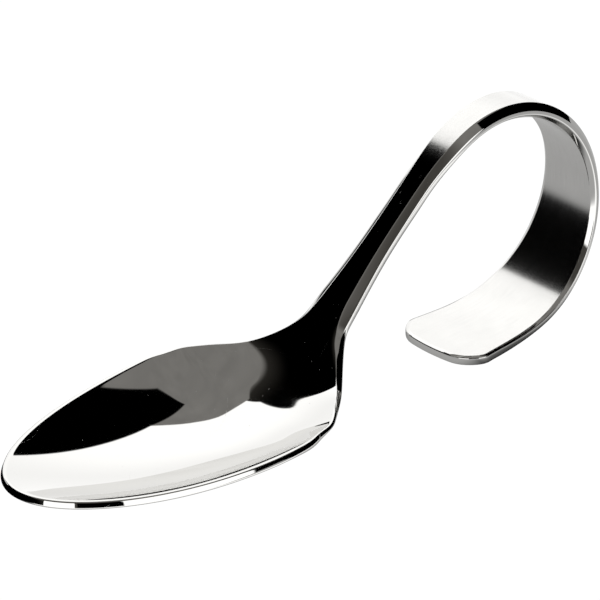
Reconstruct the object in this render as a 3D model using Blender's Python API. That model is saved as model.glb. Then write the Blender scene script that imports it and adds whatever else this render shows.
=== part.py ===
"""Amuse-bouche spoon: one steel strip, pressed into a bowl at one end and bent into a loop at the other.

The strip is laid out flat first, as a blank, with s the distance from the bowl's tip along its centre line
and y the distance across it. The blank is then bent along its centre line and the bowl is pressed into it.
The spoon rests on the bowl's underside and on the flat of its foot. Metres, +Z up, tip at -X.
"""

from math import cos, pi, radians, sin

import bpy
import numpy as np

# Bowl
BOWL_HALF_WIDTH = 0.0196      # centre line to the rounded lip, at the widest place
TIP_TO_WIDEST = 0.0430        # along the strip
SHOULDER_LENGTH = 0.0262      # widest place to where the shoulders run out into the stem
BOWL_DEPTH = 0.0074           # lip line to the middle of the metal, at the deepest place
LIP_THICKNESS = 0.00145
LIP_DIP = radians(2.75)       # how steeply the lip line falls from the tip and rises to the neck
TIP_POINTING = 0.035          # share of the width that the tip loses against an ellipse
SHOULDER_DROP = 2.05          # power that sets how sharply the shoulders fall away

# Neck and stem
WIDEST_TO_NECK = 0.0111       # widest place to the start of the neck's bend
NECK_LENGTH = 0.0122
NECK_THICKNESS = 0.0034
STEM_ANGLE = radians(41.7)    # rise of the straight stem
STEM_FLARE = 0.0031           # what the stem's half width gains towards the bowl
STEM_HALF_WIDTH = 0.00177     # centre line to the rounded edge, at the narrowest place
WIDEST_TO_NARROWEST = 0.0489  # along the strip

# Loop
LOOP_RADIUS = 0.0201          # to the middle of the metal
LOOP_EASING = 0.0134          # length over which the bend starts and stops

# Foot
FOOT_LENGTH = 0.0070          # flat stretch on the table
FOOT_HALF_WIDTH = 0.0090      # centre line to the rounded edge
FOOT_THICKNESS = 0.0018
FOOT_CORNER_RADIUS = 0.0045
FOOT_END_BULGE = 0.00125      # how far the end bows out

# Edge of the strip
EDGE_BULGE = 0.8              # how far the half-round edge stands out, in half thicknesses
FLARE_EASING = 0.37           # share of the handle over which its widening starts
TAPER_EASING = 0.25           # share of the handle over which its thinning starts and stops

# Fineness of the mesh
TIP_ROWS = 13
SHOULDER_ROWS = 15
HANDLE_ROWS = 46
FOOT_ROWS = 4
COLUMNS = 11
EDGE_ROWS = 3
CENTRE_LINE_STEPS = 4000
SLOPE_STEP = 0.00002          # step along and across the strip that its slopes are taken over
TINY = 1e-9                   # keeps a division off nought

STEEL_COLOUR = (0.78, 0.77, 0.75, 1.0)
STEEL_ROUGHNESS = 0.08

NECK_START = TIP_TO_WIDEST + WIDEST_TO_NECK
NECK_END = NECK_START + NECK_LENGTH
SHOULDER_END = TIP_TO_WIDEST + SHOULDER_LENGTH
NARROWEST = TIP_TO_WIDEST + WIDEST_TO_NARROWEST
LOOP_TURN = STEM_ANGLE + pi
LOOP_LENGTH = LOOP_TURN * LOOP_RADIUS + LOOP_EASING


def eased(x):
    """A step from 0 to 1 whose slope and curvature are nil at both ends."""
    x = np.clip(x, 0.0, 1.0)
    return x ** 3 * (10.0 - 15.0 * x + 6.0 * x ** 2)


def ramp(x, easing):
    """A straight rise from 0 to 1 that bends in and out over the share easing of its length."""
    x = np.clip(x, 0.0, 1.0)
    slope = 1.0 / (1.0 - easing)
    start = slope * x ** 2 / (2.0 * easing)
    finish = 1.0 - slope * (1.0 - x) ** 2 / (2.0 * easing)
    middle = slope * (x - easing / 2.0)
    return np.where(x < easing, start, np.where(x > 1.0 - easing, finish, middle))


def heading(s, loop_start):
    """Slope angle of the centre line: along the lip, up the neck and stem, and round the loop."""
    lip = -LIP_DIP * np.cos(pi * np.clip(s / NECK_START, 0.0, 1.0))
    neck = (STEM_ANGLE - LIP_DIP) * eased((s - NECK_START) / NECK_LENGTH)
    loop = LOOP_TURN * ramp((s - loop_start) / LOOP_LENGTH, LOOP_EASING / LOOP_LENGTH)
    return lip + neck - loop


def centre_line(stem_length):
    """Arrays of s, x, z and slope angle along the bent centre line, from the tip at the origin."""
    loop_start = NECK_END + stem_length
    s = np.linspace(0.0, loop_start + LOOP_LENGTH + FOOT_LENGTH, CENTRE_LINE_STEPS)
    angle = heading(s, loop_start)
    middle_angle = (angle[1:] + angle[:-1]) / 2.0
    step = s[1] - s[0]
    x = np.concatenate([[0.0], np.cumsum(np.cos(middle_angle)) * step])
    z = np.concatenate([[0.0], np.cumsum(np.sin(middle_angle)) * step])
    return s, x, z, angle


def hollow(s):
    """Share of the bowl's depth that the middle of the strip has at s."""
    ahead = np.clip((TIP_TO_WIDEST - s) / TIP_TO_WIDEST, 0.0, 1.0)
    behind = np.clip((s - TIP_TO_WIDEST) / SHOULDER_LENGTH, 0.0, 1.0)
    front = (1.0 - ahead ** 2) * (1.0 - TIP_POINTING * ahead ** 2) ** 2
    return np.where(s < TIP_TO_WIDEST, front, (1.0 - behind ** 2) ** (2.0 * SHOULDER_DROP))


def thickness(s, loop_start):
    """Thickness of the strip: thin lip, thick neck, and an even taper to the foot."""
    loop_end = loop_start + LOOP_LENGTH
    thicker = eased((s - TIP_TO_WIDEST) / (NECK_END - TIP_TO_WIDEST))
    thinner = ramp((s - NECK_END) / (loop_end - NECK_END), TAPER_EASING)
    up_to_neck = LIP_THICKNESS + (NECK_THICKNESS - LIP_THICKNESS) * thicker
    return up_to_neck - (NECK_THICKNESS - FOOT_THICKNESS) * thinner


def half_width(s, length):
    """Half the blank's width inside its rounded edge: an egg-shaped bowl, then a strip that widens."""
    ahead = np.clip((TIP_TO_WIDEST - s) / TIP_TO_WIDEST, 0.0, 1.0)
    behind = np.clip((s - TIP_TO_WIDEST) / SHOULDER_LENGTH, 0.0, 1.0)
    bowl_front = BOWL_HALF_WIDTH * np.sqrt(1.0 - ahead ** 2) * (1.0 - TIP_POINTING * ahead ** 2)
    flare = STEM_FLARE * (1.0 - eased((s - TIP_TO_WIDEST) / WIDEST_TO_NARROWEST))
    widening = 2.0 * ramp((s - NARROWEST) / (length - NARROWEST) / 2.0, FLARE_EASING / 2.0)
    handle = STEM_HALF_WIDTH + flare + (FOOT_HALF_WIDTH - STEM_HALF_WIDTH) * widening
    shoulder = (BOWL_HALF_WIDTH - STEM_HALF_WIDTH - STEM_FLARE) * (1.0 - behind ** 2) ** SHOULDER_DROP
    return np.where(s < TIP_TO_WIDEST, bowl_front, shoulder + handle)


def stem_length_to_table():
    """Length of straight stem that sets the foot's underside level with the bowl's underside."""
    s, _, z, _ = centre_line(0.0)
    underside = z - BOWL_DEPTH * hollow(s) - thickness(s, NECK_END) / 2.0
    bowl_bottom = underside[s < SHOULDER_END].min()
    foot_bottom = z[-1] - FOOT_THICKNESS / 2.0
    return (bowl_bottom - foot_bottom) / sin(STEM_ANGLE)


def blank_grid(length):
    """Arrays of s and y over the flat blank, with a round front and round corners at the foot.

    The front is a half square mapped onto a half disc, which is then stretched to the bowl's outline. Behind
    the widest place the rows run straight across, and the last ones close in round the foot's corners.
    """
    across = np.linspace(-1.0, 1.0, COLUMNS)
    along = np.linspace(-1.0, 0.0, TIP_ROWS)[:, None]
    disc_x = along * np.sqrt(1.0 - across ** 2 / 2.0)
    disc_y = across * np.sqrt(1.0 - along ** 2 / 2.0)
    front_s = TIP_TO_WIDEST * (1.0 + disc_x)
    front_y = half_width(front_s, length) * disc_y / np.sqrt(np.maximum(1.0 - disc_x ** 2, TINY))

    corner = min(FOOT_CORNER_RADIUS, 0.9 * FOOT_HALF_WIDTH)
    corner_start = length - corner
    shoulder_rows = np.linspace(TIP_TO_WIDEST, SHOULDER_END, SHOULDER_ROWS)[1:]
    handle_rows = np.linspace(SHOULDER_END, corner_start, HANDLE_ROWS)[1:]
    foot_rows = corner_start + corner * np.sin(np.linspace(0.0, pi / 2.0, FOOT_ROWS + 1))[1:]
    rows = np.concatenate([shoulder_rows, handle_rows, foot_rows])[:, None]
    into_corner = np.clip(rows - corner_start, 0.0, corner)
    inset = corner - np.sqrt(corner ** 2 - into_corner ** 2)
    rear_y = across * (half_width(rows, length) - inset)
    bow = FOOT_END_BULGE * eased((rows - length + FOOT_LENGTH) / FOOT_LENGTH)
    rear_s = rows - bow * (rear_y / FOOT_HALF_WIDTH) ** 2
    return np.concatenate([front_s, rear_s]), np.concatenate([front_y, rear_y])


def pressed_and_bent(s, y, line):
    """Points of the strip's middle layer: the flat blank carried along the centre line and pressed down."""
    line_s, line_x, line_z, line_angle = line
    angle = np.interp(s, line_s, line_angle)
    side = np.minimum((y / np.maximum(half_width(s, line_s[-1]), TINY)) ** 2, 1.0)
    press = BOWL_DEPTH * hollow(s) * (1.0 - side)
    x = np.interp(s, line_s, line_x) + press * np.sin(angle)
    z = np.interp(s, line_s, line_z) - press * np.cos(angle)
    return np.stack([x, y, z], axis=-1)


def unit(vectors):
    return vectors / np.linalg.norm(vectors, axis=-1, keepdims=True)


def rim_of(grid):
    """The grid's border as one closed loop of rows."""
    return np.concatenate([grid[0, :-1], grid[:-1, -1], grid[-1, :0:-1], grid[:0:-1, 0]])


def spoon_mesh():
    """Closed mesh of the strip: its upper and under skins, joined all round by a half-round edge."""
    stem_length = stem_length_to_table()
    line = centre_line(stem_length)
    length = line[0][-1]
    s, y = blank_grid(length)
    middle = pressed_and_bent(s, y, line)

    step = SLOPE_STEP
    inner_s = np.clip(s, 2.0 * step, length - 2.0 * step)
    along = pressed_and_bent(inner_s + step, y, line) - pressed_and_bent(inner_s - step, y, line)
    across = pressed_and_bent(inner_s, y + step, line) - pressed_and_bent(inner_s, y - step, line)
    normal = unit(np.cross(along, across))
    half = thickness(s, NECK_END + stem_length)[..., None] / 2.0
    upper = middle + half * normal
    under = middle - half * normal

    rim = rim_of(middle)
    rim_normal = rim_of(normal)
    rim_half = rim_of(half)
    outward = unit(np.cross(rim_normal, np.roll(rim, -1, axis=0) - np.roll(rim, 1, axis=0)))
    turns = np.linspace(pi / 2.0, -pi / 2.0, EDGE_ROWS + 2)[1:-1]
    edge_rows = []
    for turn in turns:
        half_round = EDGE_BULGE * cos(turn) * outward + sin(turn) * rim_normal
        edge_rows.append(rim + rim_half * half_round)

    rows, columns = s.shape
    skin = np.arange(rows * columns).reshape(rows, columns)
    quads = np.stack([skin[:-1, :-1], skin[1:, :-1], skin[1:, 1:], skin[:-1, 1:]], axis=-1).reshape(-1, 4)
    rings = [rim_of(skin)]
    rings += [2 * skin.size + row * len(rim) + np.arange(len(rim)) for row in range(EDGE_ROWS)]
    rings += [rim_of(skin) + skin.size]
    faces = [quads, quads[:, ::-1] + skin.size]
    for ring, below in zip(rings, rings[1:]):
        faces.append(np.stack([ring, np.roll(ring, -1), np.roll(below, -1), below], axis=-1))

    points = np.concatenate([upper.reshape(-1, 3), under.reshape(-1, 3)] + edge_rows)
    points -= [(points[:, 0].min() + points[:, 0].max()) / 2.0, 0.0, line[2][-1] - FOOT_THICKNESS / 2.0]
    mesh = bpy.data.meshes.new("spoon")
    mesh.from_pydata(points.tolist(), [], np.concatenate(faces).tolist())
    mesh.shade_smooth()
    return mesh


def polished_steel():
    material = bpy.data.materials.new("polished_steel")
    material.use_nodes = True
    shader = material.node_tree.nodes["Principled BSDF"]
    shader.inputs["Base Color"].default_value = STEEL_COLOUR
    shader.inputs["Metallic"].default_value = 1.0
    shader.inputs["Roughness"].default_value = STEEL_ROUGHNESS
    return material


def main():
    for old in list(bpy.data.objects):
        bpy.data.objects.remove(old, do_unlink=True)
    collection = bpy.data.collections.new("amuse_bouche_spoon")
    bpy.context.scene.collection.children.link(collection)
    spoon = bpy.data.objects.new("spoon", spoon_mesh())
    spoon.data.materials.append(polished_steel())
    collection.objects.link(spoon)


main()
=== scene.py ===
"""Looks of the amuse-bouche spoon: one polished steel strip on a bright table in a white tent with dark screens."""

from math import cos, pi, radians, sin

import bpy
import numpy as np
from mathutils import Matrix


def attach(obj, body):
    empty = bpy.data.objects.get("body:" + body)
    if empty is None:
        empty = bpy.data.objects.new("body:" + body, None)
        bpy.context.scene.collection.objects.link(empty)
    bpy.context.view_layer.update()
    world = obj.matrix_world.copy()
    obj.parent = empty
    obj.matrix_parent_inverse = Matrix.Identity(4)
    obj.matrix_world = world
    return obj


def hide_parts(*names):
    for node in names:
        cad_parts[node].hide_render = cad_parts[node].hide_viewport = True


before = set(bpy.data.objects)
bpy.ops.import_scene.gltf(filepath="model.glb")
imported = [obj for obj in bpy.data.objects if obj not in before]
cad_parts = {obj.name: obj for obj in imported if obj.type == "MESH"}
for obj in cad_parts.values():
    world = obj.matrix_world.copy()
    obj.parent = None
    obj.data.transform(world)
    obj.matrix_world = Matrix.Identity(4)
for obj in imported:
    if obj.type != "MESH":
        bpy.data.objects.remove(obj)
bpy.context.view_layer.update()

# Bowl, in metres. s is the distance from the tip along the strip, y the distance across it
BOWL_HALF_WIDTH = 0.0196
TIP_TO_WIDEST = 0.0430
SHOULDER_LENGTH = 0.0262
BOWL_DEPTH = 0.0073
LIP_THICKNESS = 0.00145
LIP_DIP = radians(2.75)
TIP_POINTING = 0.035
SHOULDER_DROP = 2.05
HOLLOW_BLEND = 0.006
BLEND_REACH = 4.0 * HOLLOW_BLEND

# Neck, stem, loop and foot
WIDEST_TO_NECK = 0.0111
NECK_LENGTH = 0.0122
NECK_EASING = 0.0008
NECK_THICKNESS = 0.0034
THICKER_FROM = 0.0480
STEM_ANGLE = radians(41.7)
STEM_FLARE = 0.0031
STEM_HALF_WIDTH = 0.00177
WIDEST_TO_NARROWEST = 0.0489
LOOP_RADIUS = 0.0201
LOOP_EASING = 0.0134
FOOT_LENGTH = 0.0070
FOOT_HALF_WIDTH = 0.0090
FOOT_THICKNESS = 0.0018
FOOT_CORNER_RADIUS = 0.0045
FOOT_END_BULGE = 0.00125
FLARE_EASING = 0.37
TAPER_EASING = 0.25

# Humps along s: where each starts to rise, reaches its top, starts to fall and has ended. Round the neck the rim is
# thinner by a share of the thickness and droops. The shoulder and, slightly, the loop are wider
THIN_RIM = (0.044, 0.054, 0.060, 0.073)
RIM_THINNING = 0.55
DROOP = (0.053, 0.060, 0.062, 0.074)
DROOP_DEPTH = 0.0006
SHOULDER_FILL = (0.046, 0.0525, 0.056, 0.073)
SHOULDER_FILL_WIDTH = 0.00125
LOOP_FILL = (0.094, 0.108, 0.165, 0.184)
LOOP_FILL_WIDTH = 0.00025

# Section of the edge. The skins stop short of the rim by the inset. The corners lie outward and upward from the
# middle of the rim in half thicknesses. The lip has a narrow land above a face that stands out further below, and
# so has the neck. The stem and the loop have a bevel above and below a face that is nearly upright, and the foot
# slight ones. Each row: s, upper corner, lower corner
LIP_INSET = 0.00035
HANDLE_INSET = 0.00006
EDGE_SECTIONS = (
    (0.036, (0.32, 0.80), (0.80, -0.70)),
    (0.047, (0.10, 0.90), (0.62, -0.24)),
    (0.054, (0.36, 0.60), (1.24, -0.62)),
    (0.060, (0.36, 0.60), (1.10, -0.62)),
    (0.071, (0.90, 0.46), (0.90, -0.10)),
    (0.086, (0.84, 0.50), (0.80, -0.10)),
    (0.094, (0.82, 0.50), (0.78, -0.20)),
    (0.107, (0.80, 0.14), (0.80, -0.46)),
    (0.161, (0.80, 0.17), (0.80, -0.46)),
    (0.173, (0.80, 0.19), (0.76, -0.74)),
    (0.188, (0.68, 0.72), (0.68, -0.72)),
)

# Shares of the stretches before and after each corner of the section that its rounding takes, skin to skin
LIP_ROUNDINGS = ((1.0, 0.35), (0.30, 0.22), (0.22, 0.45), (0.45, 1.0))
HANDLE_ROUNDINGS = ((1.0, 0.14), (0.22, 0.34), (0.34, 0.22), (0.14, 1.0))

NECK_START = TIP_TO_WIDEST + WIDEST_TO_NECK
NECK_END = NECK_START + NECK_LENGTH
SHOULDER_END = TIP_TO_WIDEST + SHOULDER_LENGTH
NARROWEST = TIP_TO_WIDEST + WIDEST_TO_NARROWEST
LOOP_TURN = STEM_ANGLE + pi
LOOP_LENGTH = LOOP_TURN * LOOP_RADIUS + LOOP_EASING

# Fineness of the surface, and how closely its columns crowd towards the rim
TIP_ROWS = 84
SHOULDER_ROWS = 64
HANDLE_ROWS = 290
FOOT_ROWS = 16
COLUMNS = 73
COLUMN_CROWDING = 0.45 * pi
ROUNDING_ROWS = 6
CENTRE_LINE_STEPS = 8000
BLEND_STEPS = 401
SLOPE_STEP = 0.00002
TINY = 1e-9

# The smooth surface bulges past the flat faces of the solid it dresses, so it is made this much smaller
SHRINK_INTO_SOLID = 0.9992


def eased(x):
    """A step from 0 to 1, x cubed times (10 - 15 x + 6 x squared)."""
    x = np.clip(x, 0.0, 1.0)
    return x ** 3 * (10.0 - 15.0 * x + 6.0 * x ** 2)


def ramp(x, easing):
    """A straight rise from 0 to 1 with a parabola over the share easing at each end."""
    x = np.clip(x, 0.0, 1.0)
    slope = 1.0 / (1.0 - easing)
    start = slope * x ** 2 / (2.0 * easing)
    finish = 1.0 - slope * (1.0 - x) ** 2 / (2.0 * easing)
    middle = slope * (x - easing / 2.0)
    return np.where(x < easing, start, np.where(x > 1.0 - easing, finish, middle))


def heading(s, loop_start):
    """Slope angle of the centre line: a cosine along the lip, an eased rise at the neck, less the loop's turn."""
    lip = -LIP_DIP * np.cos(pi * np.clip(s / NECK_START, 0.0, 1.0))
    neck = (STEM_ANGLE - LIP_DIP) * eased((s - NECK_START + NECK_EASING) / (NECK_LENGTH + 2.0 * NECK_EASING))
    loop = LOOP_TURN * ramp((s - loop_start) / LOOP_LENGTH, LOOP_EASING / LOOP_LENGTH)
    return lip + neck - loop


def centre_line(stem_length):
    """s, x, z and slope angle along the centre line: running sums of the slope's cosine and sine."""
    loop_start = NECK_END + stem_length
    s = np.linspace(0.0, loop_start + LOOP_LENGTH + FOOT_LENGTH, CENTRE_LINE_STEPS)
    angle = heading(s, loop_start)
    middle_angle = (angle[1:] + angle[:-1]) / 2.0
    step = s[1] - s[0]
    x = np.concatenate([[0.0], np.cumsum(np.cos(middle_angle)) * step])
    z = np.concatenate([[0.0], np.cumsum(np.sin(middle_angle)) * step])
    return s, x, z, angle


def pressed_profile(s):
    """Share of the bowl's depth along the middle: a parabola to the tip, a steep power of one to the neck."""
    ahead = np.clip((TIP_TO_WIDEST - s) / TIP_TO_WIDEST, 0.0, 1.0)
    behind = np.clip((s - TIP_TO_WIDEST) / SHOULDER_LENGTH, 0.0, 1.0)
    front = (1.0 - ahead ** 2) * (1.0 - TIP_POINTING * ahead ** 2) ** 2
    return np.where(s < TIP_TO_WIDEST, front, (1.0 - behind ** 2) ** (2.0 * SHOULDER_DROP))


def hollow(s):
    """The pressed profile averaged along s with a bell-shaped weight, so that its two parts flow into each other.

    Ahead of the tip the profile is carried on upside down, which keeps its slope at the lip.
    """
    offsets = np.linspace(-BLEND_REACH, BLEND_REACH, BLEND_STEPS)
    weights = np.exp(-0.5 * (offsets / HOLLOW_BLEND) ** 2)
    places = np.arange(-2.0 * BLEND_REACH, SHOULDER_END + 2.0 * BLEND_REACH, offsets[1] - offsets[0])
    profile = np.sign(places) * pressed_profile(np.abs(places))
    averaged = np.convolve(profile, weights / weights.sum(), "same")
    return np.interp(s, places, averaged / averaged.max())


def thickness(s, loop_start):
    """Lip thickness, an eased gain to the neck's end, and a taper from there to the loop's end."""
    loop_end = loop_start + LOOP_LENGTH
    thicker = eased((s - THICKER_FROM) / (NECK_END - THICKER_FROM))
    thinner = ramp((s - NECK_END) / (loop_end - NECK_END), TAPER_EASING)
    up_to_neck = LIP_THICKNESS + (NECK_THICKNESS - LIP_THICKNESS) * thicker
    return up_to_neck - (NECK_THICKNESS - FOOT_THICKNESS) * thinner


def hump(s, start, top_start, top_end, end):
    """An eased rise from 0 to 1, a level stretch and an eased fall back to 0."""
    return eased((s - start) / (top_start - start)) - eased((s - top_end) / (end - top_end))


def half_width(s, length):
    """Half an egg ahead of the widest place, a steep power of a parabola behind it, and a widening strip.

    One hump is added where the shoulder runs into the neck, and a slight one along the loop.
    """
    ahead = np.clip((TIP_TO_WIDEST - s) / TIP_TO_WIDEST, 0.0, 1.0)
    behind = np.clip((s - TIP_TO_WIDEST) / SHOULDER_LENGTH, 0.0, 1.0)
    bowl_front = BOWL_HALF_WIDTH * np.sqrt(1.0 - ahead ** 2) * (1.0 - TIP_POINTING * ahead ** 2)
    flare = STEM_FLARE * (1.0 - eased((s - TIP_TO_WIDEST) / WIDEST_TO_NARROWEST))
    widening = 2.0 * ramp((s - NARROWEST) / (length - NARROWEST) / 2.0, FLARE_EASING / 2.0)
    handle = STEM_HALF_WIDTH + flare + (FOOT_HALF_WIDTH - STEM_HALF_WIDTH) * widening
    shoulder = (BOWL_HALF_WIDTH - STEM_HALF_WIDTH - STEM_FLARE) * (1.0 - behind ** 2) ** SHOULDER_DROP
    fill = SHOULDER_FILL_WIDTH * hump(s, *SHOULDER_FILL) + LOOP_FILL_WIDTH * hump(s, *LOOP_FILL)
    return np.where(s < TIP_TO_WIDEST, bowl_front, shoulder + handle + fill)


def stem_length_to_table():
    """Straight stem that brings the foot's underside level with the bowl's, over the sine of its angle."""
    s, _, z, _ = centre_line(0.0)
    underside = z - BOWL_DEPTH * hollow(s) - thickness(s, NECK_END) / 2.0
    bowl_bottom = underside[s < SHOULDER_END].min()
    foot_bottom = z[-1] - FOOT_THICKNESS / 2.0
    return (bowl_bottom - foot_bottom) / sin(STEM_ANGLE)


def on_handle(s):
    """0 on the bowl up to its widest place, an eased rise to 1 at the neck's end and beyond."""
    return eased((s - TIP_TO_WIDEST) / (NECK_END - TIP_TO_WIDEST))


def edge_corners(s):
    """Outward and upward shares of both corners: the first section's, then an eased step to each next one."""
    first = np.concatenate(EDGE_SECTIONS[0][1:])
    corners = np.tile(first, (len(s), 1))
    for (start, *before), (end, *after) in zip(EDGE_SECTIONS, EDGE_SECTIONS[1:]):
        change = np.concatenate(after) - np.concatenate(before)
        corners += change * eased((s - start) / (end - start))[:, None]
    return corners


def blank_grid(length, lip_inset=0.0, handle_inset=0.0):
    """s and y over the flat blank: a half square mapped onto a half disc, then straight rows to round corners.

    The insets hold the border back from the rim, as far on the bowl and as far on the handle as they say.
    """
    even = np.linspace(-1.0, 1.0, COLUMNS)
    across = np.sin(COLUMN_CROWDING * even) / sin(COLUMN_CROWDING)
    along = np.linspace(-1.0, 0.0, TIP_ROWS)[:, None]
    disc_x = along * np.sqrt(1.0 - across ** 2 / 2.0) * (1.0 - lip_inset / TIP_TO_WIDEST)
    disc_y = across * np.sqrt(1.0 - along ** 2 / 2.0) * (1.0 - lip_inset / BOWL_HALF_WIDTH)
    front_s = TIP_TO_WIDEST * (1.0 + disc_x)
    front_y = half_width(front_s, length) * disc_y / np.sqrt(np.maximum(1.0 - disc_x ** 2, TINY))

    corner_start = length - FOOT_CORNER_RADIUS
    corner_radius = FOOT_CORNER_RADIUS - handle_inset
    shoulder_rows = np.linspace(TIP_TO_WIDEST, SHOULDER_END, SHOULDER_ROWS)[1:]
    handle_rows = np.linspace(SHOULDER_END, corner_start, HANDLE_ROWS)[1:]
    foot_turn = np.linspace(0.0, pi / 2.0, FOOT_ROWS + 1)[1:]
    rows = np.concatenate([shoulder_rows, handle_rows, corner_start + corner_radius * np.sin(foot_turn)])[:, None]
    into_corner = np.clip(rows - corner_start, 0.0, corner_radius)
    cut_off = corner_radius - np.sqrt(corner_radius ** 2 - into_corner ** 2)
    held_back = lip_inset + (handle_inset - lip_inset) * on_handle(rows)
    rear_y = across * (half_width(rows, length) - held_back - cut_off)
    bow = FOOT_END_BULGE * eased((rows - length + FOOT_LENGTH) / FOOT_LENGTH)
    rear_s = rows - bow * (rear_y / FOOT_HALF_WIDTH) ** 2
    return np.concatenate([front_s, rear_s]), np.concatenate([front_y, rear_y])


def pressed_and_bent(s, y, line):
    """Point on the centre line at s, moved y across it and down its normal by the bowl's parabola over y.

    Where the shoulder runs into the neck the rim droops with the fourth power of y.
    """
    line_s, line_x, line_z, line_angle = line
    angle = np.interp(s, line_s, line_angle)
    side = (y / np.maximum(half_width(s, line_s[-1]), TINY)) ** 2
    press = BOWL_DEPTH * hollow(s) * (1.0 - side) + DROOP_DEPTH * hump(s, *DROOP) * side ** 2
    x = np.interp(s, line_s, line_x) + press * np.sin(angle)
    z = np.interp(s, line_s, line_z) - press * np.cos(angle)
    return np.stack([x, y, z], axis=-1)


def unit(vectors):
    """Vectors over their lengths."""
    return vectors / np.linalg.norm(vectors, axis=-1, keepdims=True)


def rim_of(grid):
    """The grid's border as one closed loop of rows."""
    return np.concatenate([grid[0, :-1], grid[:-1, -1], grid[-1, :0:-1], grid[:0:-1, 0]])


def surface_normal(s, y, line):
    """Unit normal of the pressed and bent blank: cross product of its small steps along s and across y."""
    inner_s = np.clip(s, 2.0 * SLOPE_STEP, line[0][-1] - 2.0 * SLOPE_STEP)
    ahead = pressed_and_bent(inner_s + SLOPE_STEP, y, line) - pressed_and_bent(inner_s - SLOPE_STEP, y, line)
    aside = pressed_and_bent(inner_s, y + SLOPE_STEP, line) - pressed_and_bent(inner_s, y - SLOPE_STEP, line)
    return unit(np.cross(ahead, aside))


def skins(s, y, line, loop_start):
    """Upper and under skin: half a thickness above and below the pressed and bent blank, along its normal.

    Round the neck the underside rises towards the rim with the fourth power of y, which leaves a thin edge.
    """
    middle = pressed_and_bent(s, y, line)
    normal = surface_normal(s, y, line)
    full = thickness(s, loop_start)
    side = y / np.maximum(half_width(s, line[0][-1]), TINY)
    left = 1.0 - RIM_THINNING * hump(s, *THIN_RIM) * np.minimum(side ** 4, 1.0)
    return middle + normal * full[..., None] / 2.0, middle + normal * (full * (0.5 - left))[..., None]


def rounded_edge(upper_border, under_border, s, y, line, loop_start):
    """Rows of the edge, from the upper skin's border round the rim to the under skin's border.

    The section is a path of six points: border, rim, upper corner, lower corner, rim, border. Each of the four
    between is cut off by a parabola, which starts and ends at the shares of the stretches beside it.
    """
    upper_rim, under_rim = skins(s, y, line, loop_start)
    middle = (upper_rim + under_rim) / 2.0
    half = np.linalg.norm(upper_rim - under_rim, axis=-1)[:, None] / 2.0
    angle = np.interp(s, line[0], line[3])
    upward = np.stack([-np.sin(angle), 0.0 * angle, np.cos(angle)], axis=-1)
    outward = unit(np.cross(upward, np.roll(middle, -1, axis=0) - np.roll(middle, 1, axis=0)))
    handle = on_handle(s)[:, None]

    def between(lip, stem):
        """The lip's share on the bowl, eased over into the stem's."""
        return lip + (stem - lip) * handle

    upper_out, upper_up, lower_out, lower_up = (share[:, None] for share in edge_corners(s).T)
    upper_corner = middle + half * (upper_out * outward + upper_up * upward)
    lower_corner = middle + half * (lower_out * outward + lower_up * upward)
    path = [upper_border, upper_rim, upper_corner, lower_corner, under_rim, under_border]
    t = np.linspace(0.0, 1.0, ROUNDING_ROWS)[:, None, None]
    rows = []
    for i, (lip, stem) in enumerate(zip(LIP_ROUNDINGS, HANDLE_ROUNDINGS), start=1):
        start = path[i] + between(lip[0], stem[0]) * (path[i - 1] - path[i])
        end = path[i] + between(lip[1], stem[1]) * (path[i + 1] - path[i])
        rows.append((1.0 - t) ** 2 * start + 2.0 * t * (1.0 - t) * path[i] + t ** 2 * end)
    return np.concatenate(rows)[1:-1]


def spoon_surface():
    """Points, quads and strip coordinates (s, y, face) of the whole strip: two skins and the edge between them.

    face is 1 on the upper skin, -1 on the under skin and 0 on the edge.
    """
    stem_length = stem_length_to_table()
    loop_start = NECK_END + stem_length
    line = centre_line(stem_length)
    length = line[0][-1]
    s, y = blank_grid(length, LIP_INSET, HANDLE_INSET)
    upper, under = skins(s, y, line, loop_start)
    rim_s, rim_y = (rim_of(a) for a in blank_grid(length))
    edge = rounded_edge(rim_of(upper), rim_of(under), rim_s, rim_y, line, loop_start)

    rows, columns = s.shape
    edge_rows, count = edge.shape[:2]
    skin = np.arange(rows * columns).reshape(rows, columns)
    quads = np.stack([skin[:-1, :-1], skin[1:, :-1], skin[1:, 1:], skin[:-1, 1:]], axis=-1).reshape(-1, 4)
    edge_rings = 2 * skin.size + np.arange(edge_rows * count).reshape(edge_rows, count)
    rings = np.concatenate([rim_of(skin)[None], edge_rings, rim_of(skin)[None] + skin.size])
    walls = np.stack([rings[:-1], np.roll(rings[:-1], -1, 1), np.roll(rings[1:], -1, 1), rings[1:]], axis=-1)
    faces = np.concatenate([quads, quads[:, ::-1] + skin.size, walls.reshape(-1, 4)])

    points = np.concatenate([upper.reshape(-1, 3), under.reshape(-1, 3), edge.reshape(-1, 3)])
    points -= [(points[:, 0].min() + points[:, 0].max()) / 2.0, 0.0, line[2][-1] - FOOT_THICKNESS / 2.0]
    points *= SHRINK_INTO_SOLID
    flat = np.ones(s.size)
    strip = np.stack([
        np.concatenate([s.ravel(), s.ravel(), np.tile(rim_s, edge_rows)]),
        np.concatenate([y.ravel(), y.ravel(), np.tile(rim_y, edge_rows)]),
        np.concatenate([flat, -flat, np.zeros(edge_rows * count)]),
    ], axis=-1)
    return points, faces, strip


def spoon_piece():
    """The strip as a smooth mesh with its strip coordinates kept as a point attribute."""
    points, faces, strip = spoon_surface()
    mesh = bpy.data.meshes.new("spoon_strip")
    mesh.from_pydata(points.tolist(), [], faces.tolist())
    mesh.shade_smooth()
    attribute = mesh.attributes.new("strip", "FLOAT_VECTOR", "POINT")
    attribute.data.foreach_set("vector", strip.astype(np.float32).ravel())
    piece = bpy.data.objects.new("spoon_strip", mesh)
    bpy.context.scene.collection.objects.link(piece)
    return piece


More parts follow.
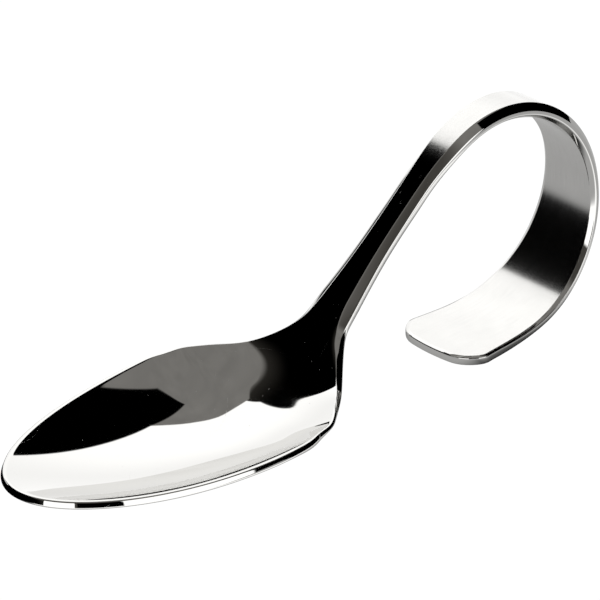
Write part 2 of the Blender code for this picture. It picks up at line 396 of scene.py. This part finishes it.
class Shade:
    """A shader socket for Python sums: each operator adds a Math node to the socket's tree."""

    def __init__(self, tree, socket=None):
        self.tree = tree
        self.socket = socket

    def node(self, kind, settings=None, inputs=None, output=0):
        """Any node: its type, its settings, its sockets' values or links, and the output to go on with."""
        node = self.tree.nodes.new(kind)
        for name, value in (settings or {}).items():
            setattr(node, name, value)
        for name, value in (inputs or {}).items():
            if isinstance(value, Shade):
                self.tree.links.new(value.socket, node.inputs[name])
            else:
                node.inputs[name].default_value = value
        return Shade(self.tree, node.outputs[output])

    def beside(self, output):
        """Another output of the same node."""
        return Shade(self.tree, self.socket.node.outputs[output])

    def math(self, operation, first, second=0.0):
        """A Math node on one or two values."""
        return self.node("ShaderNodeMath", {"operation": operation}, {0: first, 1: second})

    def __add__(self, other):
        return self.math("ADD", self, other)

    def __sub__(self, other):
        return self.math("SUBTRACT", self, other)

    def __rsub__(self, other):
        return self.math("SUBTRACT", other, self)

    def __mul__(self, other):
        return self.math("MULTIPLY", self, other)

    def __truediv__(self, other):
        return self.math("DIVIDE", self, other)

    __radd__ = __add__
    __rmul__ = __mul__

    def step(self, low, high):
        """0 below low, 1 above high, smooth between."""
        settings = {"interpolation_type": "SMOOTHSTEP"}
        return self.node("ShaderNodeMapRange", settings, {"Value": self, "From Min": low, "From Max": high})

    def span(self, rise_start, rise_end, fall_start, fall_end):
        """A smooth rise from 0 to 1, a level stretch and a smooth fall back to 0."""
        return self.step(rise_start, rise_end).both(1.0 - self.step(fall_start, fall_end))

    def both(self, other):
        """The smaller of two masks: 1 where both are."""
        return self.math("MINIMUM", self, other)

    def either(self, other):
        """The larger of two masks: 1 where one of them is."""
        return self.math("MAXIMUM", self, other)

    def blend(self, factor, first, second):
        """The first colour, changed into the second one by factor."""
        return self.node("ShaderNodeMix", {"data_type": "RGBA"}, {"Factor": factor, 6: first, 7: second}, 2)

    def mixed(self, factor, colour):
        """This colour, changed into the other one by factor."""
        return self.blend(factor, self, colour)

    def scaled(self, factor):
        """This colour times factor."""
        return self.node("ShaderNodeVectorMath", {"operation": "SCALE"}, {0: self, "Scale": factor})

    def along(self, vector):
        """Dot product of this direction and a fixed vector."""
        return self.node("ShaderNodeVectorMath", {"operation": "DOT_PRODUCT"}, {0: self, 1: tuple(vector)}, 1)


def grey(value, warmth=0.0):
    """A grey that leans to red and away from blue by its warmth."""
    return (value * (1.0 + warmth), value, value * (1.0 - 1.5 * warmth), 1.0)


# Finish of the steel. Sizes in metres: length and width of a brush line and of a scuff, distance and size of specks,
# reach of scratches and of the polish's waves, and where along the strip the satin and the scuffs lie
MIRROR_COLOUR = (0.62, 0.615, 0.60, 1.0)
SATIN_COLOUR = (0.60, 0.595, 0.58, 1.0)
MIRROR_ROUGHNESS = 0.03
SATIN_ROUGHNESS = 0.17
SPECK_ROUGHNESS = 0.55
SATIN_START = (0.0985, 0.1045)
BRUSH_LINE = (0.0060, 0.00016)
SPECK_SPACING = 0.0012
SPECK_SIZE = 0.00004
SCRATCH_REACH = 0.020
POLISH_WAVE = 0.0030
BLOTCHES_PER_METRE = 260.0
SCUFF = (0.0022, 0.0005)
SCUFFED_STEM = (0.088, 0.094, 0.099, 0.102)
BUMP_HEIGHT = 0.000002

# The two values between which a mark, or the part of the surface that has it, fades in or out
FLAT_FACE = (0.9, 1.0)
SPECK_CHANCE = (0.58, 0.60)
SCRATCH_EDGE = (0.0004, 0.0012)
SCRATCHED_PARTS = (0.48, 0.56)
SCUFF_EDGE = (0.10, 0.22)
SCUFF_CHANCE = (0.50, 0.52)

# Strength of scratches and scuffs beside specks, and how much grain, blotches and waves change
SCRATCH_STRENGTH = 0.4
SCUFF_STRENGTH = 0.5
GRAIN_TONE = 0.16
BLOTCH_TONE = 0.10
GRAIN_ROUGHNESS = 0.12
GRAIN_HEIGHT = 0.3
WAVE_HEIGHT = 0.25


def polished_steel():
    """Mirror polish that goes over into a finely brushed satin on the loop's and the foot's flats.

    The mirror has sparse specks, hairline scratches and scuffs, which are rougher, and faint waves. The satin's grain
    is noise drawn out along the strip; it changes the tone, the roughness and the height.
    """
    material = bpy.data.materials.new("polished_steel")
    material.use_nodes = True
    tree = material.node_tree
    shader = tree.nodes["Principled BSDF"]
    base = Shade(tree)
    strip = base.node("ShaderNodeAttribute", {"attribute_name": "strip"}, output=1)
    along = base.node("ShaderNodeSeparateXYZ", inputs={0: strip})
    across, face = along.beside(1), along.beside(2)
    place = base.node("ShaderNodeTexCoord", output=3)
    flat = base.math("ABSOLUTE", face).step(*FLAT_FACE)
    satin = along.step(*SATIN_START) * flat

    def drawn_out(size):
        return base.node("ShaderNodeCombineXYZ", inputs={0: along / size[0], 1: across / size[1], 2: face})

    def noise(vector, scale, detail):
        return base.node("ShaderNodeTexNoise", inputs={"Vector": vector, "Scale": scale, "Detail": detail})

    grain = noise(drawn_out(BRUSH_LINE), 1.0, 3.0)
    blotch = noise(place, BLOTCHES_PER_METRE, 3.0)
    waves = noise(place, 1.0 / POLISH_WAVE, 1.0)

    cells = base.node("ShaderNodeTexVoronoi", inputs={"Vector": place, "Scale": 1.0 / SPECK_SPACING})
    speck_size = SPECK_SIZE / SPECK_SPACING
    specks = (1.0 - cells.step(speck_size, 2.0 * speck_size)) * cells.beside(1).step(*SPECK_CHANCE)
    off_line = base.math("ABSOLUTE", noise(place, 1.0 / SCRATCH_REACH, 0.0) - 0.5)
    scratches = (1.0 - off_line.step(*SCRATCH_EDGE)) * blotch.step(*SCRATCHED_PARTS)
    dabs = base.node("ShaderNodeTexVoronoi", inputs={"Vector": drawn_out(SCUFF), "Scale": 1.0})
    on_stem = along.span(*SCUFFED_STEM) * flat
    scuffs = (1.0 - dabs.step(*SCUFF_EDGE)) * dabs.beside(1).step(*SCUFF_CHANCE) * on_stem
    marks = specks.either(scratches * SCRATCH_STRENGTH).either(scuffs * SCUFF_STRENGTH) * (1.0 - satin)

    tone = 1.0 + satin * ((grain - 0.5) * GRAIN_TONE + (blotch - 0.5) * BLOTCH_TONE)
    colour = base.blend(satin, MIRROR_COLOUR, SATIN_COLOUR).scaled(tone)
    satin_gain = SATIN_ROUGHNESS - MIRROR_ROUGHNESS + (grain - 0.5) * GRAIN_ROUGHNESS
    roughness = MIRROR_ROUGHNESS + satin_gain * satin + marks * (SPECK_ROUGHNESS - MIRROR_ROUGHNESS)
    height = grain * satin * GRAIN_HEIGHT + waves * WAVE_HEIGHT
    bump = base.node("ShaderNodeBump", inputs={"Strength": 1.0, "Distance": BUMP_HEIGHT, "Height": height})
    tree.links.new(colour.socket, shader.inputs["Base Color"])
    tree.links.new(roughness.socket, shader.inputs["Roughness"])
    tree.links.new(bump.socket, shader.inputs["Normal"])
    shader.inputs["Metallic"].default_value = 1.0
    return material


# Brightness of the tent, its windows, the roof, the front of the room and the screens, and the warmth of the greys
WHITE = 1.66
LOW_WHITE = 1.40
WINDOW = 1.75
CEILING = 0.25
FRONT = 0.075
HAZE = 0.07
BLACK = 0.0
CEILING_WARMTH = 0.03
FRONT_WARMTH = 0.06
HAZE_WARMTH = 0.08

# Edges in the studio, each a line of sight from one direction to another: azimuth from +X towards +Y and elevation,
# in degrees
LEFT_SCREEN_EDGE = ((85.1, 28), (94.4, 51.5))
LEFT_SCREEN_UPPER_EDGE = ((94.4, 51.5), (94.5, 58.2))
LEFT_SCREEN_LOWER_EDGE = ((87.4, 14), (85.3, 28))
LEFT_SCREEN_DOWN_TO_TABLE = ((109, 0), (109, 40))
HAZE_EDGE = ((160, 51), (113, 61.5))
ROOF_EDGE = ((91.8, 58.7), (16.8, 51.4))
ROOF_CORNER_EDGE = ((111.5, 62.3), (97, 57.6))
ROOF_LEFT_EDGE = ((160, 49.8), (113, 60.6))
RIGHT_SCREEN_EDGE = ((17.4, 49), (21, 26.3))
RIGHT_SCREEN_UPPER_EDGE = ((22.5, 69.5), (16.8, 51.4))
RIGHT_SCREEN_TOP = ((-7.3, 63.2), (17, 69.3))
RIGHT_SCREEN_TOP_END = ((-17, 48.8), (-12.2, 59.6))
RIGHT_SCREEN_END = ((-69, 0), (-69, 60))

# How wide an edge's blur is, as the sine of an angle
USUAL_BLUR = 0.012
SHARP_BLUR = 0.004
ROOF_BLUR = 0.07
HAZE_BLUR = 0.5

# Heights, as sines of the elevation, between which one thing goes over into another
TENT_WHITENS = (0.24, 0.62)
LEFT_SCREEN_BOTTOM = (0.20, 0.25)
RIGHT_SCREEN_HEIGHT = (0.725, 0.74)
WINDOW_HEIGHT = (0.36, 0.42)

# Front of the room, the clouds in its tone, and the windows' and their gap's azimuths, in degrees
FRONT_AZIMUTH = -143
FRONT_FADES_IN = (0.40, 0.62)
CLOUDS_PER_UNIT = 7.0
DARKEST_CLOUD = 0.80
CLOUD_RANGE = 0.40
WINDOWS = ((-166, -133), (-105, -67))
WINDOW_GAP = (-131, -105)


def direction(azimuth, elevation):
    """Unit vector at an azimuth from +X towards +Y and an elevation, in degrees."""
    a, e = radians(azimuth), radians(elevation)
    return np.array([cos(a) * cos(e), sin(a) * cos(e), sin(e)])


def beyond(way, edge, blur=USUAL_BLUR):
    """1 on the left of the edge, looking along it from its first direction to its second, else 0."""
    first, second = edge
    normal = unit(np.cross(direction(*second), direction(*first)))
    return way.along(normal).step(-blur / 2.0, blur / 2.0)


def sector(way, start, end):
    """1 where the azimuth is between start and end, else 0."""
    return beyond(way, ((start, 0), (start, 45))).both(1.0 - beyond(way, ((end, 0), (end, 45))))


def studio():
    """White tent with a warm grey roof and front, and black screens to the right and at the back left."""
    world = bpy.data.worlds.new("studio")
    bpy.context.scene.world = world
    world.use_nodes = True
    tree = world.node_tree
    base = Shade(tree)
    way = base.node("ShaderNodeTexCoord")
    height = base.node("ShaderNodeSeparateXYZ", inputs={0: way}, output=2)
    light = base.blend(height.step(*TENT_WHITENS), grey(LOW_WHITE), grey(WHITE))

    left = beyond(way, LEFT_SCREEN_EDGE, SHARP_BLUR).either(beyond(way, LEFT_SCREEN_UPPER_EDGE, SHARP_BLUR))
    above_bottom = height.step(*LEFT_SCREEN_BOTTOM).either(beyond(way, LEFT_SCREEN_DOWN_TO_TABLE))
    left = left.both(beyond(way, LEFT_SCREEN_LOWER_EDGE)).both(above_bottom)
    screen = base.blend(beyond(way, HAZE_EDGE, HAZE_BLUR), grey(BLACK), grey(HAZE, HAZE_WARMTH))
    light = light.mixed(left, screen)

    front = way.along(direction(FRONT_AZIMUTH, 0)).step(*FRONT_FADES_IN)
    room = base.blend(front, grey(CEILING, CEILING_WARMTH), grey(FRONT, FRONT_WARMTH))
    clouds = base.node("ShaderNodeTexNoise", inputs={"Vector": way, "Scale": CLOUDS_PER_UNIT, "Detail": 2.0})
    room = room.scaled(DARKEST_CLOUD + CLOUD_RANGE * clouds)
    roof_left = beyond(way, ROOF_CORNER_EDGE).either(beyond(way, ROOF_LEFT_EDGE, ROOF_BLUR))
    light = light.mixed(beyond(way, ROOF_EDGE).both(roof_left), room)

    right_side = beyond(way, RIGHT_SCREEN_EDGE).either(beyond(way, RIGHT_SCREEN_UPPER_EDGE))
    right_top = beyond(way, RIGHT_SCREEN_TOP).both(beyond(way, RIGHT_SCREEN_TOP_END))
    right_low = beyond(way, RIGHT_SCREEN_END).both(1.0 - height.step(*RIGHT_SCREEN_HEIGHT))
    light = light.mixed(right_side.both(right_top.either(right_low)), grey(BLACK))

    low = 1.0 - height.step(*WINDOW_HEIGHT)
    for window in WINDOWS:
        light = light.mixed(sector(way, *window).both(low), grey(WINDOW))
    light = light.mixed(sector(way, *WINDOW_GAP).both(low), grey(BLACK))

    background = tree.nodes["Background"]
    tree.links.new(light.socket, background.inputs["Color"])
    background.inputs["Strength"].default_value = 1.0


# The table looks white. What the steel mirrors of it is a sheet just above it with the spoon's shade painted on it
# and painted light around that. How bright they are, and their heights and size in metres
TABLE_GLOW = 1.03
SHADE_GLOW = 0.55
OPEN_GLOW = 1.65
BACK_GLOW = 1.2
TABLE_HEIGHT = -0.0002
SHEET_HEIGHT = -0.0001
TABLE_HALF_WIDTH = 6.0

# The spoon's painted shade is an oval, twice as long as wide and shifted to the back. The painted light behind it is
# dimmer
SHADE_LENGTH = 2.0
SHADE_EDGE = (0.030, 0.070)
SHADE_SHIFT = 0.03
SHADE_SHIFTS_OVER = (0.0, 0.03)
BACK_STARTS = (0.0, 0.04)

# Painted shade of the left screen, towards its azimuth, of what stands at the right front, and under the loop
LEFT_SCREEN_AZIMUTH = radians(155)
LEFT_SCREEN_SHADE = (0.005, 0.055)
LEFT_SCREEN_SIDE = (-0.01, 0.01)
RIGHT_FRONT_STARTS = (0.070, 0.095)
RIGHT_FRONT_SLANT = 0.3
RIGHT_FRONT_EDGE = (0.0, 0.02)
UNDER_LOOP_X = (0.026, 0.034, 0.058, 0.066)
UNDER_LOOP_Y = (-0.015, -0.008, 0.006, 0.014)

# White card by the left screen. Its edge is given as seen from the neck: azimuth and elevation of its two ends, in
# degrees, and their distance
CARD_SEEN_FROM = np.array([-0.006, 0.0, 0.012])
CARD_EDGE = ((89.2, 42.0), (93.8, 56.0))
CARD_DISTANCE = 0.395
CARD_WIDTH = 0.24


def glowing_sheet(name, corners):
    """A flat sheet with the four corners given, and the tree and shader of its new material."""
    mesh = bpy.data.meshes.new(name)
    mesh.from_pydata(corners, [], [(0, 1, 2, 3)])
    sheet = bpy.data.objects.new(name, mesh)
    bpy.context.scene.collection.objects.link(sheet)
    material = bpy.data.materials.new(name)
    material.use_nodes = True
    shader = material.node_tree.nodes["Principled BSDF"]
    shader.inputs["Base Color"].default_value = grey(BLACK)
    shader.inputs["Specular IOR Level"].default_value = 0.0
    shader.inputs["Emission Strength"].default_value = 1.0
    mesh.materials.append(material)
    return sheet, material.node_tree, shader


def level_square(height):
    """The four corners of a wide level square at the height given."""
    size = TABLE_HALF_WIDTH
    return [(-size, -size, height), (size, -size, height), (size, size, height), (-size, size, height)]


def white_card():
    """White card that only the steel sees, with its edge just beside the left screen's as seen from the neck.

    The edge's ends lie from the neck along a direction and at a distance. The card runs level from them along X.
    """
    low, high = (CARD_SEEN_FROM + CARD_DISTANCE * direction(*end) for end in CARD_EDGE)
    across = np.array([CARD_WIDTH, 0.0, 0.0])
    corners = [tuple(corner) for corner in (low, low + across, high + across, high)]
    card, _, shader = glowing_sheet("white_card", corners)
    card.visible_camera = False
    shader.inputs["Emission Color"].default_value = grey(WHITE)


def table():
    """Pale table lit from within, as a light table is, and the sheet with painted shade that only the steel sees."""
    _, _, shader = glowing_sheet("table", level_square(TABLE_HEIGHT))
    shader.inputs["Emission Color"].default_value = grey(TABLE_GLOW)

    sheet, tree, shader = glowing_sheet("shaded_sheet", level_square(SHEET_HEIGHT))
    sheet.visible_camera = False
    base = Shade(tree)
    place = base.node("ShaderNodeTexCoord", output=3)
    x = base.node("ShaderNodeSeparateXYZ", inputs={0: place})
    y = x.beside(1)
    # Painted shade on the mirrored sheet: a dim oval round the spoon with painted light beyond it
    distance = base.math("SQRT", x * x / SHADE_LENGTH ** 2 + y * y)
    out_of_shade = (distance - SHADE_SHIFT * y.step(*SHADE_SHIFTS_OVER)).step(*SHADE_EDGE)
    open_glow = base.blend(y.step(*BACK_STARTS), grey(OPEN_GLOW), grey(BACK_GLOW))
    glow = base.blend(out_of_shade, grey(SHADE_GLOW), open_glow)

    to_screen = y * sin(LEFT_SCREEN_AZIMUTH) + x * cos(LEFT_SCREEN_AZIMUTH)
    # More painted shade: black towards the left screen, dim at the right front, black under the loop
    glow = glow.mixed(to_screen.step(*LEFT_SCREEN_SHADE) * y.step(*LEFT_SCREEN_SIDE), grey(BLACK))
    in_front = 1.0 - (y - RIGHT_FRONT_SLANT * x).step(*RIGHT_FRONT_EDGE)
    glow = glow.mixed(x.step(*RIGHT_FRONT_STARTS).both(in_front), grey(SHADE_GLOW))
    glow = glow.mixed(x.span(*UNDER_LOOP_X).both(y.span(*UNDER_LOOP_Y)), grey(BLACK))
    tree.links.new(glow.socket, shader.inputs["Emission Color"])


# Camera. Distances in metres, lens and sensor in millimetres
CAMERA_AZIMUTH = radians(-43.182)
CAMERA_ELEVATION = radians(27.619)
CAMERA_DISTANCE = 0.720
CAMERA_TARGET = np.array([-0.00215, 0.0, 0.02124])
CAMERA_LENS = 264.0
CAMERA_SENSOR = 36.0
CAMERA_SEES_FROM = 0.01
CAMERA_SEES_TO = 50.0


def camera():
    """Long lens looking down at the bowl's tip side, at the photograph's angle."""
    a, e = CAMERA_AZIMUTH, CAMERA_ELEVATION
    back = np.array([sin(a) * cos(e), -cos(a) * cos(e), sin(e)])
    data = bpy.data.cameras.new("camera")
    data.lens = CAMERA_LENS
    data.sensor_width = CAMERA_SENSOR
    data.clip_start = CAMERA_SEES_FROM
    data.clip_end = CAMERA_SEES_TO
    view = bpy.data.objects.new("camera", data)
    bpy.context.scene.collection.objects.link(view)
    view.location = CAMERA_TARGET + back * CAMERA_DISTANCE
    view.rotation_euler = (pi / 2.0 - e, 0.0, a)
    bpy.context.scene.camera = view


spoon = spoon_piece()
spoon.data.materials.append(polished_steel())
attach(spoon, "root")
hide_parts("spoon")
studio()
table()
white_card()
camera()
bpy.context.scene.view_settings.view_transform = "Standard"
